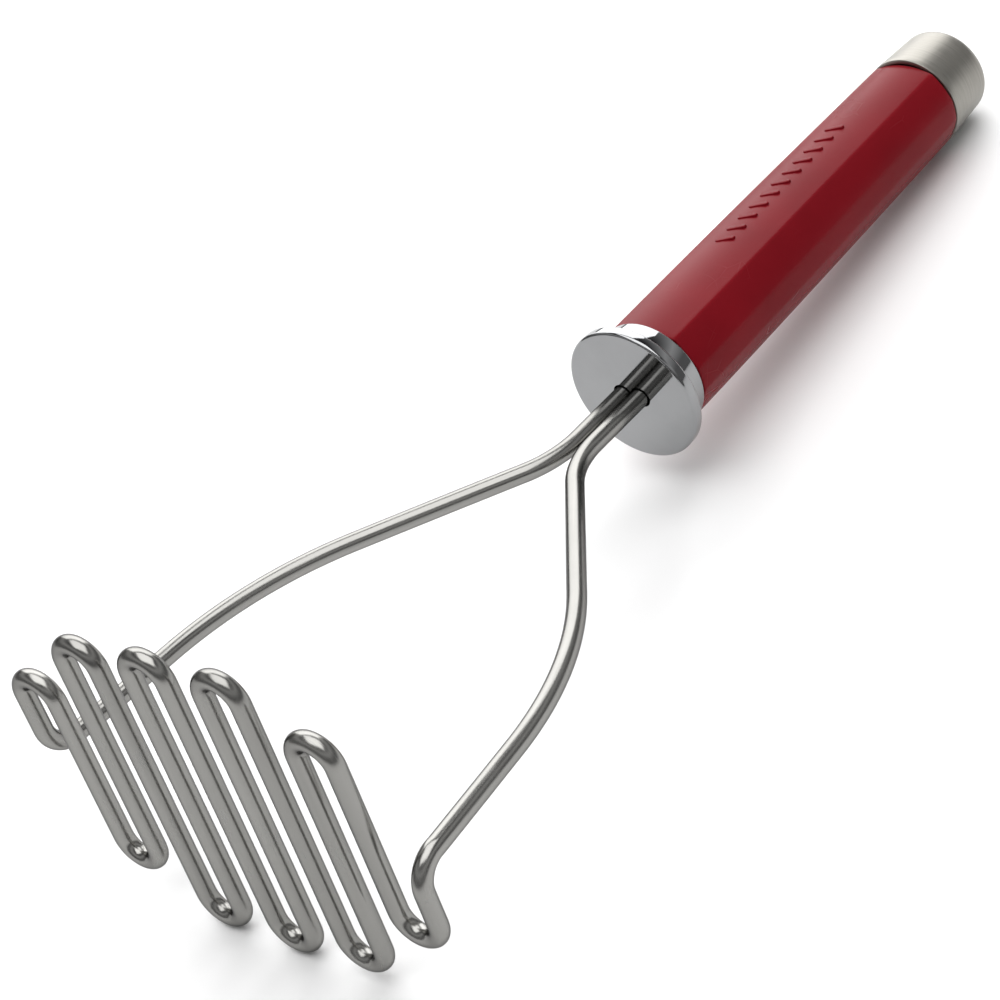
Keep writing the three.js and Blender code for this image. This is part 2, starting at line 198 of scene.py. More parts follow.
class StageSizes(bpy.types.PropertyGroup):
    """The floor, the lights and the camera."""
    floor_size: length("Floor Size", "Side of the floor", 6000)
    light_aim: position("Light Aim", "What both lights point at", (0, 0, 0.02))
    key_power: FloatProperty(name="Key Power", description="Light over and behind the grip",
                             default=22.0, min=0.0, unit="POWER")
    key_place: position("Key Place", "Where that light is", (0.93, 0.86, 0.72))
    key_sides: sides_of("Key Sides", "How large that light is", (1.7, 1.3))
    top_power: FloatProperty(name="Top Power", description="Wide light overhead",
                             default=15.0, min=0.0, unit="POWER")
    top_place: position("Top Place", "Where that light is", (-0.1, -0.05, 1.2))
    top_sides: sides_of("Top Sides", "How large that light is", (1.3, 1.3))
    camera_place: position("Camera Place", "Camera, from the head's plane on the grip's axis",
                           (-0.2245, -0.3581, 0.3205))
    lens: FloatProperty(name="Lens", description="Focal length for a 36 mm sensor, in millimetres",
                        default=104.8, min=10.0)


GROUPS = {"masher_wire": WireSizes, "masher_bolster": BolsterSizes, "masher_grip": GripSizes,
          "masher_cap": CapSizes, "masher_finish": Finishes, "masher_stage": StageSizes}


class Plan:
    """Places along the tool's axis, worked out from the sizes."""

    def __init__(self, scene):
        w, b, g, c = scene.masher_wire, scene.masher_bolster, scene.masher_grip, scene.masher_cap
        self.collar_x = b.face_x + b.disc_thickness + b.groove_width
        self.collar_end = self.collar_x + b.collar_thickness
        self.grip_x = self.collar_end + c.gap
        self.grip_end = self.grip_x + g.length
        self.cap_x = self.grip_end + c.gap
        self.cap_end = self.cap_x + c.length
        self.bore = g.end_diameter / 2 - g.wall
        self.cap_r = (g.end_diameter - c.taper) / 2
        self.tang_y = CAD_WIRE_R + w.tang_gap / 2
        # the tool is tipped until it lies on its lower bends and the rim of its cap
        down = w.head_height / 2 - CAD_WIRE_R - w.lean_z - (self.cap_r - c.edge_radius)
        along = self.cap_end - c.edge_radius
        tip = math.acos((c.edge_radius - CAD_WIRE_R) / math.hypot(down, along)) - math.atan2(along, down)
        turn = Matrix.Rotation(tip, 4, "Y")
        # the core is a plain bar on the axis, so its box's middle gives the tool's place
        low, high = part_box("grip_core")
        core_x = (self.collar_end + b.spigot_length + self.grip_end - c.plug) / 2
        self.place = Matrix.Translation((low + high) / 2 - turn @ Vector((core_x, 0, 0))) @ turn


# ---------- meshes ----------

def link(obj):
    bpy.context.scene.collection.objects.link(obj)
    return obj


def mesh_object(name, verts, faces, place=None):
    mesh = bpy.data.meshes.new(name)
    mesh.from_pydata([tuple(v) for v in verts], [], faces)
    mesh.validate()
    if place is not None:
        mesh.transform(place)
    return link(bpy.data.objects.new(name, mesh))


def discard(obj):
    """Removes an object and its mesh."""
    mesh = obj.data
    bpy.data.objects.remove(obj)
    bpy.data.meshes.remove(mesh)


def bake(obj, name):
    """The evaluated object as a plain mesh object, with no modifiers left."""
    depsgraph = bpy.context.evaluated_depsgraph_get()
    depsgraph.update()
    mesh = bpy.data.meshes.new_from_object(obj.evaluated_get(depsgraph), preserve_all_data_layers=True,
                                           depsgraph=depsgraph)
    discard(obj)
    mesh.name = name
    return link(bpy.data.objects.new(name, mesh))


def face_out(mesh):
    """Merges doubles and makes the faces point outwards."""
    bm = bmesh.new()
    bm.from_mesh(mesh)
    bmesh.ops.remove_doubles(bm, verts=bm.verts, dist=MERGE)
    bmesh.ops.recalc_face_normals(bm, faces=bm.faces)
    bm.to_mesh(mesh)
    bm.free()


def arc(centre_x, centre_r, radius, start, stop, steps=10):
    """Points of a quarter round in a profile, angles in degrees."""
    return [(centre_x + radius * math.cos(math.radians(start + (stop - start) * i / steps)),
             centre_r + radius * math.sin(math.radians(start + (stop - start) * i / steps)))
            for i in range(steps + 1)]


def band_faces(rows, count, closed):
    """Quads between neighbouring rings of count points, and back to the first ring if closed."""
    return [(i * count + k, i * count + (k + 1) % count,
             (i + 1) % rows * count + (k + 1) % count, (i + 1) % rows * count + k)
            for i in range(rows if closed else rows - 1) for k in range(count)]


def turned(name, profile, place, sides=TURNED_SIDES):
    """A closed piece turned about X.  The profile is (x, radius) pairs that start and end on the
    axis, where one flat face closes each end."""
    rows = profile[1:-1]
    verts = [(x, r * math.cos(2 * math.pi * k / sides), r * math.sin(2 * math.pi * k / sides))
             for x, r in rows for k in range(sides)]
    faces = band_faces(len(rows), sides, False)
    last = (len(rows) - 1) * sides
    faces += [tuple(range(sides)), tuple(last + k for k in reversed(range(sides)))]
    obj = mesh_object(name, verts, faces, place)
    face_out(obj.data)
    return obj


def finish_piece(obj, material, slot, *nodes, sharp):
    """Smooth shading with crisp corners past so many degrees, the material, and the frame calls."""
    obj.data.shade_smooth()
    obj.data.set_sharp_from_angle(angle=math.radians(sharp))
    obj.data.materials.clear()
    obj.data.materials.append(material)
    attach(obj, BODY)
    if nodes:
        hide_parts(*nodes)


# ---------- node trees ----------

class Tree:
    """Short calls for building a node tree."""

    def __init__(self, tree):
        self.tree = tree

    def node(self, kind, inputs=None, **settings):
        n = self.tree.nodes.new(kind)
        for key, value in settings.items():
            setattr(n, key, value)
        for key, value in (inputs or {}).items():
            self.feed(n.inputs[key], value)
        return n

    def feed(self, socket, value):
        if isinstance(value, bpy.types.NodeSocket):
            self.tree.links.new(value, socket)
        else:
            socket.default_value = value

    def math(self, operation, a, b):
        n = self.node("ShaderNodeMath", operation=operation)
        self.feed(n.inputs[0], a)
        self.feed(n.inputs[1], b)
        return n.outputs[0]

    def span(self, value, low, high, to_low, to_high):
        """Maps a value from one range to another, without going past it."""
        n = self.node("ShaderNodeMapRange", {"Value": value, "From Min": low, "From Max": high,
                                             "To Min": to_low, "To Max": to_high})
        return n.outputs["Result"]

    def mix(self, factor, a, b):
        """Mixes two colours, whose sockets on this node are 6 and 7, and 2 for the result."""
        n = self.node("ShaderNodeMix", data_type="RGBA")
        self.feed(n.inputs[0], factor)
        self.feed(n.inputs[6], a)
        self.feed(n.inputs[7], b)
        return n.outputs[2]

    def noise(self, vector, scale, detail=3.0, roughness=0.55):
        return self.node("ShaderNodeTexNoise", {"Vector": vector, "Scale": scale, "Detail": detail,
                                                "Roughness": roughness}).outputs["Fac"]

    def bump(self, strength, distance, height):
        return self.node("ShaderNodeBump", {"Strength": strength, "Distance": distance,
                                            "Height": height}).outputs[0]

    def group(self, name, inputs):
        n = self.node("ShaderNodeGroup", node_tree=bpy.data.node_groups[name])
        for key, value in inputs.items():
            self.feed(n.inputs[key], value)
        return n


def shader_group(name, inputs, outputs):
    tree = bpy.data.node_groups.new(name, "ShaderNodeTree")
    for label, kind, value in inputs:
        socket = tree.interface.new_socket(label, in_out="INPUT", socket_type=kind)
        if value is not None:
            socket.default_value = value
    for label, kind in outputs:
        tree.interface.new_socket(label, in_out="OUTPUT", socket_type=kind)
    t = Tree(tree)
    return t, t.node("NodeGroupInput").outputs, t.node("NodeGroupOutput").inputs


def build_shader_groups():
    """The effects that several materials share."""
    # fine lines left by drawing or brushing: the stretch vector is small along the lines
    t, i, o = shader_group("Fine Lines", [
        ("Vector", "NodeSocketVector", None), ("Stretch", "NodeSocketVector", (1, 1, 1)),
        ("Scale", "NodeSocketFloat", 1000.0),
    ], [("Lines", "NodeSocketFloat"), ("Streaks", "NodeSocketFloat")])
    v = t.node("ShaderNodeVectorMath", operation="MULTIPLY")
    t.feed(v.inputs[0], i["Vector"])
    t.feed(v.inputs[1], i["Stretch"])
    t.feed(o["Lines"], t.noise(v.outputs[0], i["Scale"], detail=2.0, roughness=0.6))
    t.feed(o["Streaks"], t.noise(v.outputs[0], t.math("MULTIPLY", i["Scale"], 0.12),
                                 detail=2.0, roughness=0.5))

    # faint smudges and hairline scratches from handling and washing
    t, i, o = shader_group("Handling", [
        ("Vector", "NodeSocketVector", None), ("Smudge Scale", "NodeSocketFloat", 60.0),
        ("Scratch Scale", "NodeSocketFloat", 260.0),
    ], [("Smudges", "NodeSocketFloat"), ("Scratches", "NodeSocketFloat")])
    cloud = t.noise(i["Vector"], i["Smudge Scale"], detail=4.0, roughness=0.6)
    t.feed(o["Smudges"], t.span(cloud, 0.42, 0.72, 0.0, 1.0))
    bent = t.node("ShaderNodeVectorMath", operation="MULTIPLY_ADD")
    wobble = t.node("ShaderNodeTexNoise", {"Vector": i["Vector"], "Scale": 45.0, "Detail": 1.0})
    t.feed(bent.inputs[0], wobble.outputs["Color"])
    bent.inputs[1].default_value = (0.012, 0.012, 0.012)
    t.feed(bent.inputs[2], i["Vector"])
    cells = t.node("ShaderNodeTexVoronoi", {"Vector": bent.outputs[0], "Scale": i["Scratch Scale"]},
                   feature="DISTANCE_TO_EDGE")
    hair = t.span(cells.outputs["Distance"], 0.0, 0.035, 1.0, 0.0)
    keep = t.span(t.noise(i["Vector"], 75.0, detail=1.0), 0.55, 0.7, 0.0, 1.0)
    t.feed(o["Scratches"], t.math("MULTIPLY", hair, keep))


def new_material(name, **shader):
    """A material with a Principled BSDF whose constant values are set on its own sockets."""
    material = bpy.data.materials.new(name)
    material.use_nodes = True
    t = Tree(material.node_tree)
    bsdf = material.node_tree.nodes["Principled BSDF"]
    for key, value in shader.items():
        bsdf.inputs[key.replace("_", " ")].default_value = value
    return material, t, bsdf


def axis_coordinates(t, plan):
    """Object coordinates turned so that X runs along the grip's axis from the head's plane."""
    back = plan.place.inverted()
    return t.node("ShaderNodeMapping", {
        "Vector": t.node("ShaderNodeTexCoord").outputs["Object"],
        "Location": back.to_translation(), "Rotation": back.to_euler(),
    }, vector_type="POINT").outputs[0]


def shade(rgb, factor):
    return (rgb[0] * factor, rgb[1] * factor, rgb[2] * factor, 1.0)


def wire_material(finish):
    m, t, bsdf = new_material("drawn_steel_wire", Metallic=1.0, Specular_Tint=(0.35, 0.35, 0.36, 1.0))
    ring = t.node("ShaderNodeAttribute", attribute_name="straightened").outputs["Vector"]
    lines = t.group("Fine Lines", {"Vector": ring, "Stretch": (1.0, 1.0, 0.035), "Scale": 2600.0})
    marks = t.group("Handling", {"Vector": ring, "Smudge Scale": 90.0, "Scratch Scale": 420.0})
    tone = t.span(lines.outputs["Streaks"], 0.3, 0.7, 0.0, 1.0)
    t.feed(bsdf.inputs["Base Color"], t.mix(tone, shade(finish.wire, 0.9), shade(finish.wire, 1.08)))
    rough = t.math("ADD", t.span(marks.outputs["Smudges"], 0.0, 1.0, 0.2, 0.26),
                   t.span(lines.outputs["Lines"], 0.3, 0.7, 0.0, 0.05))
    t.feed(bsdf.inputs["Roughness"], rough)
    height = t.math("SUBTRACT", lines.outputs["Lines"], marks.outputs["Scratches"])
    t.feed(bsdf.inputs["Normal"], t.bump(0.12, 0.04 * MM, height))
    return m


def bolster_material(finish, plan):
    m, t, bsdf = new_material("mirror_polish", Metallic=1.0)
    at = axis_coordinates(t, plan)
    marks = t.group("Handling", {"Vector": at, "Smudge Scale": 70.0, "Scratch Scale": 200.0})
    lines = t.group("Fine Lines", {"Vector": at, "Stretch": (1.0, 0.06, 0.06), "Scale": 1800.0})
    t.feed(bsdf.inputs["Base Color"], t.mix(marks.outputs["Smudges"], shade(finish.bolster, 1.0),
                                            shade(finish.bolster, 0.93)))
    t.feed(bsdf.inputs["Roughness"], t.math(
        "ADD", t.span(marks.outputs["Smudges"], 0.0, 1.0, 0.045, 0.10),
        t.span(marks.outputs["Scratches"], 0.0, 1.0, 0.0, 0.12)))
    faint = t.math("MULTIPLY", lines.outputs["Lines"], 0.3)
    height = t.math("SUBTRACT", faint, marks.outputs["Scratches"])
    t.feed(bsdf.inputs["Normal"], t.bump(0.05, 0.03 * MM, height))
    return m


def grip_material(finish, plan):
    m, t, bsdf = new_material("glossy_red_plastic", Specular_IOR_Level=0.06)
    at = axis_coordinates(t, plan)
    marks = t.group("Handling", {"Vector": at, "Smudge Scale": 38.0, "Scratch Scale": 190.0})
    cloud = t.noise(at, 55.0, roughness=0.5)
    base = t.mix(t.span(cloud, 0.3, 0.7, 0.0, 1.0), shade(finish.grip, 0.92), shade(finish.grip, 1.08))
    base = t.mix(t.math("MULTIPLY", marks.outputs["Scratches"], 0.02), base, (0.45, 0.12, 0.12, 1.0))
    t.feed(bsdf.inputs["Base Color"], base)
    t.feed(bsdf.inputs["Roughness"], t.math(
        "ADD", t.span(marks.outputs["Smudges"], 0.0, 1.0, 0.24, 0.28),
        t.span(marks.outputs["Scratches"], 0.0, 1.0, 0.0, 0.04)))
    peel = t.noise(at, 900.0, detail=2.0, roughness=0.5)
    height = t.math("SUBTRACT", peel, t.math("MULTIPLY", marks.outputs["Scratches"], 0.12))
    t.feed(bsdf.inputs["Normal"], t.bump(0.12, 0.06 * MM, height))
    return m


def cap_material(finish, plan):
    m, t, bsdf = new_material("satin_steel_cap", Metallic=1.0)
    at = axis_coordinates(t, plan)
    lines = t.group("Fine Lines", {"Vector": at, "Stretch": (1.0, 0.03, 0.03), "Scale": 4200.0})
    marks = t.group("Handling", {"Vector": at, "Smudge Scale": 60.0, "Scratch Scale": 260.0})
    tone = t.span(lines.outputs["Lines"], 0.3, 0.7, 0.0, 1.0)
    base = t.mix(tone, shade(finish.cap, 0.86), shade(finish.cap, 1.1))
    t.feed(bsdf.inputs["Base Color"], base)
    rough = t.math("ADD", t.span(lines.outputs["Lines"], 0.3, 0.7, 0.35, 0.45),
                   t.span(marks.outputs["Smudges"], 0.0, 1.0, 0.0, 0.05))
    t.feed(bsdf.inputs["Roughness"], rough)
    height = t.math("SUBTRACT", lines.outputs["Lines"], marks.outputs["Scratches"])
    t.feed(bsdf.inputs["Normal"], t.bump(0.25, 0.05 * MM, height))
    return m


def core_material(finish, plan):
    m, t, bsdf = new_material("black_core_plastic", Specular_IOR_Level=0.4)
    at = axis_coordinates(t, plan)
    marks = t.group("Handling", {"Vector": at, "Smudge Scale": 120.0, "Scratch Scale": 300.0})
    grain = t.noise(at, 1500.0)
    t.feed(bsdf.inputs["Base Color"], t.mix(grain, shade(finish.core, 0.8), shade(finish.core, 1.3)))
    t.feed(bsdf.inputs["Roughness"], t.span(marks.outputs["Smudges"], 0.0, 1.0, 0.5, 0.62))
    t.feed(bsdf.inputs["Normal"], t.bump(0.3, 0.1 * MM, grain))
    return m


def screw_material(finish, plan):
    m, t, bsdf = new_material("plain_steel_screw", Metallic=1.0)
    at = axis_coordinates(t, plan)
    lines = t.group("Fine Lines", {"Vector": at, "Stretch": (1.0, 0.1, 0.1), "Scale": 3000.0})
    t.feed(bsdf.inputs["Base Color"], t.mix(lines.outputs["Streaks"], shade(finish.screw, 0.8),
                                            shade(finish.screw, 1.1)))
    t.feed(bsdf.inputs["Roughness"], t.span(lines.outputs["Lines"], 0.3, 0.7, 0.3, 0.45))
    t.feed(bsdf.inputs["Normal"], t.bump(0.2, 0.1 * MM, lines.outputs["Lines"]))
    return m


# ---------- wire ----------

class Bender:
    """Walks a wire through straights and circular bends."""

    def __init__(self, start, heading):
        self.p, self.t = start.copy(), heading.normalized()
        self.points = [self.p.copy()]

    def straight(self, distance, steps):
        for _ in range(steps):
            self.p = self.p + self.t * (distance / steps)
            self.points.append(self.p.copy())

    def bend(self, radius, angle, axis, steps):
        centre = self.p + axis.cross(self.t).normalized() * radius
        arm, heading = self.p - centre, self.t.copy()
        for i in range(1, steps + 1):
            turn = Matrix.Rotation(angle * i / steps, 3, axis)
            self.p = centre + turn @ arm
            self.t = turn @ heading
            self.points.append(self.p.copy())


def half_wire(w, b, plan, leg_z):
    """From the middle of the middle strand, up and over the bends, to the end of one tang."""
    turn_radius = w.pitch / 2
    walk = Bender(Vector((0, 0, 0)), Z)
    for place, drop in enumerate(w.drops):
        up = place % 2 == 0
        goal = (w.head_height / 2 - drop - CAD_WIRE_R - turn_radius) * (1 if up else -1)
        walk.straight(abs(goal - walk.p.z), steps=8)
        walk.bend(turn_radius, math.pi, -X if up else X, steps=40)
    edge_up = 1 if walk.p.z > 0 else -1
    walk.straight(abs(walk.p.z) - leg_z - w.heel_radius, steps=4)
    walk.bend(w.heel_radius, math.pi / 2, Y * -edge_up, steps=24)
    walk.bend(w.heel_radius, w.toe_in, -Z, steps=3)
    walk.straight((w.shoulder_x - walk.p.x) / math.cos(w.toe_in), steps=12)
    radii = w.shoulder_radius + w.neck_radius
    run = b.face_x - w.neck_straight - w.shoulder_x + w.shoulder_radius * math.sin(w.toe_in)
    rise = walk.p.y - plan.tang_y - w.shoulder_radius * math.cos(w.toe_in) - w.neck_radius
    slant = math.sqrt(run * run + rise * rise - radii * radii)
    turn = math.atan2(rise, run) + math.atan2(radii, slant)
    walk.bend(w.shoulder_radius, turn - w.toe_in, -Z, steps=40)
    walk.straight(slant, steps=16)
    walk.bend(w.neck_radius, turn, Z, steps=24)
    walk.straight(b.face_x + w.tang_length - walk.p.x, steps=30)
    # the leg eases from the height of its start to the grip's axis
    reach = b.face_x - w.neck_straight - w.heel_radius
    for p in walk.points:
        if p.x > w.heel_radius:
            s = min((p.x - w.heel_radius) / reach, 1.0)
            p.z -= leg_z * edge_up * s * s * (3 - 2 * s)
    return walk.points


def wire_path(scene, plan):
    w, b = scene.masher_wire, scene.masher_bolster
    one, other = (half_wire(w, b, plan, z) for z in w.leg_z)
    path = [p * HALF_TURN for p in reversed(other[1:])] + one
    for p in path:
        lean = min(max(1 - p.x / b.face_x, 0.0), 1.0)
        p.y += w.lean_y * lean
        p.z += w.lean_z * lean
    return path


def wire_tree():
    """Geometry Nodes: a round wire along the edges of a path, with straightened coordinates."""
    tree = bpy.data.node_groups.new("Bent Wire", "GeometryNodeTree")
    for label, kind in (("Path", "NodeSocketGeometry"), ("Wire Diameter", "NodeSocketFloat"),
                        ("Sides", "NodeSocketInt"), ("Finish", "NodeSocketMaterial")):
        tree.interface.new_socket(label, in_out="INPUT", socket_type=kind)
    tree.interface.new_socket("Wire", in_out="OUTPUT", socket_type="NodeSocketGeometry")
    t = Tree(tree)
    i = t.node("NodeGroupInput").outputs
    curve = t.node("GeometryNodeMeshToCurve", {"Mesh": i["Path"]}).outputs["Curve"]
    length_along = t.node("GeometryNodeSplineParameter").outputs["Length"]
    curve = t.node("GeometryNodeStoreNamedAttribute", {
        "Geometry": curve, "Name": "along"}, data_type="FLOAT", domain="POINT")
    t.feed(curve.inputs["Value"], length_along)
    radius = t.math("MULTIPLY", i["Wire Diameter"], 0.5)
    circle = t.node("GeometryNodeCurvePrimitiveCircle", {
        "Resolution": i["Sides"], "Radius": radius}, mode="RADIUS")
    ring = t.node("GeometryNodeStoreNamedAttribute", {
        "Geometry": circle.outputs["Curve"], "Name": "ring"}, data_type="FLOAT_VECTOR", domain="POINT")
    t.feed(ring.inputs["Value"], t.node("GeometryNodeInputPosition").outputs[0])
    tube = t.node("GeometryNodeCurveToMesh", {
        "Curve": curve.outputs[0], "Profile Curve": ring.outputs[0], "Fill Caps": True}).outputs[0]
    around, along = (t.node("GeometryNodeInputNamedAttribute", {"Name": name}, data_type=kind).outputs[0]
                     for name, kind in (("ring", "FLOAT_VECTOR"), ("along", "FLOAT")))
    lift = t.node("ShaderNodeCombineXYZ", {"Z": along}).outputs[0]
    both = t.node("ShaderNodeVectorMath", operation="ADD")
    t.feed(both.inputs[0], around)
    t.feed(both.inputs[1], lift)
    stored = t.node("GeometryNodeStoreNamedAttribute", {
        "Geometry": tube, "Name": "straightened"}, data_type="FLOAT_VECTOR", domain="POINT")
    t.feed(stored.inputs["Value"], both.outputs[0])
    smooth = t.node("GeometryNodeSetShadeSmooth", {"Geometry": stored.outputs[0]}).outputs[0]
    real = t.node("GeometryNodeRealizeInstances", {"Geometry": smooth}).outputs[0]
    coated = t.node("GeometryNodeSetMaterial", {"Geometry": real, "Material": i["Finish"]}).outputs[0]
    t.feed(t.node("NodeGroupOutput").inputs["Wire"], coated)
    return tree


def with_nodes(obj, tree, **values):
    """Adds a Geometry Nodes modifier and sets its inputs by their identifiers."""
    modifier = obj.modifiers.new(tree.name, "NODES")
    modifier.node_group = tree
    for item in tree.interface.items_tree:
        if item.in_out == "INPUT" and item.name.replace(" ", "_") in values:
            modifier[item.identifier] = values[item.name.replace(" ", "_")]


class MASHER_OT_wire(bpy.types.Operator):
    """Bends the one wire that makes the head, the legs and the tangs"""
    bl_idname = "masher.wire"
    bl_label = "Bend Wire"

    def execute(self, context):
        scene = context.scene
        plan = Plan(scene)
        path = [plan.place @ p for p in wire_path(scene, plan)]
        mesh = bpy.data.meshes.new("wire_path")
        mesh.from_pydata([tuple(p) for p in path], [(i, i + 1) for i in range(len(path) - 1)], [])
        obj = link(bpy.data.objects.new("wire_path", mesh))
        steel = wire_material(scene.masher_finish)
        with_nodes(obj, wire_tree(), Wire_Diameter=scene.masher_wire.diameter,
                   Sides=scene.masher_wire.sides, Finish=steel)
        wire = bake(obj, "bent_wire")
        face_out(wire.data)
        finish_piece(wire, steel, "wire_steel", "masher_wire", sharp=60)
        return {"FINISHED"}


# ---------- bolster ----------

class MASHER_OT_bolster(bpy.types.Operator):
    """Turns the polished disc and collar, with the two holes for the wire"""
    bl_idname = "masher.bolster"
    bl_label = "Turn Bolster"

    def execute(self, context):
        scene = context.scene
        b, g, c, plan = scene.masher_bolster, scene.masher_grip, scene.masher_cap, Plan(scene)
        r, e = b.disc_diameter / 2, b.edge_radius
        collar = g.diameter / 2
        groove = collar - b.groove_depth
        spigot = plan.bore - c.gap
        x0, back, end = b.face_x, b.face_x + b.disc_thickness, plan.collar_end
        soft, corner = b.collar_edge, b.groove_corner
        outer, inner = 0.15 * MM, 1.2 * MM  # rings inside the disc's edge that keep its face flat
        profile = [
            (x0, 0), (x0, r - e - inner), (x0, r - e - outer),
            *arc(x0 + e, r - e, e, 180, 90), *arc(back - e, r - e, e, 90, 0),
            (back, groove + corner), (back + corner, groove), (plan.collar_x - corner, groove),
            (plan.collar_x, groove + corner),
            *arc(plan.collar_x + soft, collar - soft, soft, 180, 90, steps=6),
            *arc(end - soft, collar - soft, soft, 90, 0, steps=6),
            (end, spigot), (end + b.spigot_length, spigot), (end + b.spigot_length, 0),
        ]
        body = turned("bolster_body", profile, None)
        hole_r = CAD_WIRE_R + b.hole_clearance
        start, stop = x0 - MM, end + 20 * MM
        for side in (1, -1):
            cutter = turned("hole", [(start, 0), (start, hole_r), (stop, hole_r), (stop, 0)],
                            Matrix.Translation((0, side * plan.tang_y, 0)), HOLE_SIDES)
            cut = body.modifiers.new("hole", "BOOLEAN")
            cut.operation, cut.solver, cut.object = "DIFFERENCE", "EXACT", cutter
            body = bake(body, "bolster_body")
            discard(cutter)
        body.name = body.data.name = "polished_bolster"
        body.data.transform(plan.place)
        polish = bolster_material(scene.masher_finish, plan)
        finish_piece(body, polish, "polished_metal", "bolster", sharp=38)
        return {"FINISHED"}


# ---------- grip ----------

def grip_radius(g, angle, along):
    """Radius of the grip in one direction, a share of its length from the bolster: eight facets
    whose edges lie on a circle, each bulged part of the way out to it."""
    side, top = g.side_face / 2, math.pi / 2 - g.top_face / 2
    edges = [-side, side, top, math.pi - top, math.pi - side, math.pi + side, math.pi + top,
             2 * math.pi - top, 2 * math.pi - side]
    angle = (angle + side) % (2 * math.pi) - side
    hair = 1e-9  # rounding can't leave an angle past its last edge
    a, b = next((a, b) for a, b in zip(edges, edges[1:]) if angle <= b + hair)
    r = (g.diameter + (g.end_diameter - g.diameter) * along ** g.taper_power) / 2
    chord = r * math.cos((b - a) / 2) / math.cos(angle - (a + b) / 2)
    return chord + (r - chord) * (g.bulge + (g.end_bulge - g.bulge) * along)


def grip_ring(g, along, inset, angles):
    """Radii around the grip, with the edges between facets slightly softened."""
    shares = (-1, -0.5, 0, 0.5, 1)
    return [sum(grip_radius(g, a + EDGE_SPREAD * s, along) for s in shares) / len(shares) - inset
            for a in angles]


class MASHER_OT_grip(bpy.types.Operator):
    """Lofts the eight-sided tapered grip around its bore"""
    bl_idname = "masher.grip"
    bl_label = "Mould Grip"

    def execute(self, context):
        scene = context.scene
        g, plan = scene.masher_grip, Plan(scene)
        angles = [2 * math.pi * k / GRIP_SIDES for k in range(GRIP_SIDES)]
        # (distance from the bolster's end, how far inside the outline): a rounded lip at both ends
        front = [(x, g.lip - r) for x, r in arc(g.lip, 0, g.lip, 180, 90, steps=5)]
        body = [(g.length * i / GRIP_RINGS, 0.0) for i in range(1, GRIP_RINGS)]
        rear = [(g.length - x, inset) for x, inset in reversed(front)]
        rings = [(x, grip_ring(g, x / g.length, inset, angles)) for x, inset in front + body + rear]
        rings += [(x, [plan.bore] * GRIP_SIDES) for x in (g.length, 0.0)]
        verts = [(plan.grip_x + x, r * math.cos(a), r * math.sin(a))
                 for x, radii in rings for r, a in zip(radii, angles)]
        grip = mesh_object("red_grip", verts, band_faces(len(rings), GRIP_SIDES, True), plan.place)
        face_out(grip.data)
        plastic = grip_material(scene.masher_finish, plan)
        finish_piece(grip, plastic, "grip_red", "grip_shell", sharp=50)
        return {"FINISHED"}


def rib_mesh(g):
    """One rib: a bar with round ends and a softly domed top, long side across the grip."""
    half, w, steps = g.rib_length / 2 - g.rib_width / 2, g.rib_width / 2, 12
    turns = [math.pi * k / steps for k in range(steps + 1)]
    loop = [(w * math.cos(turn), half + w * math.sin(turn)) for turn in turns]
    loop += [(-x, -y) for x, y in loop]
    layers = [(1.0, -RIB_ROOT), (1.0, 0.0), *((width, g.rib_rise * high) for width, high in RIB_DOME)]
    verts = []
    for scale, z in layers:
        for x, y in loop:
            core = max(min(y, half), -half)
            verts.append((x * scale, core + (y - core) * scale, z))
    n = len(loop)
    faces = band_faces(len(layers), n, False)
    faces.append(tuple(reversed(range(n))))
    faces.append(tuple((len(layers) - 1) * n + k for k in range(n)))
    return verts, faces


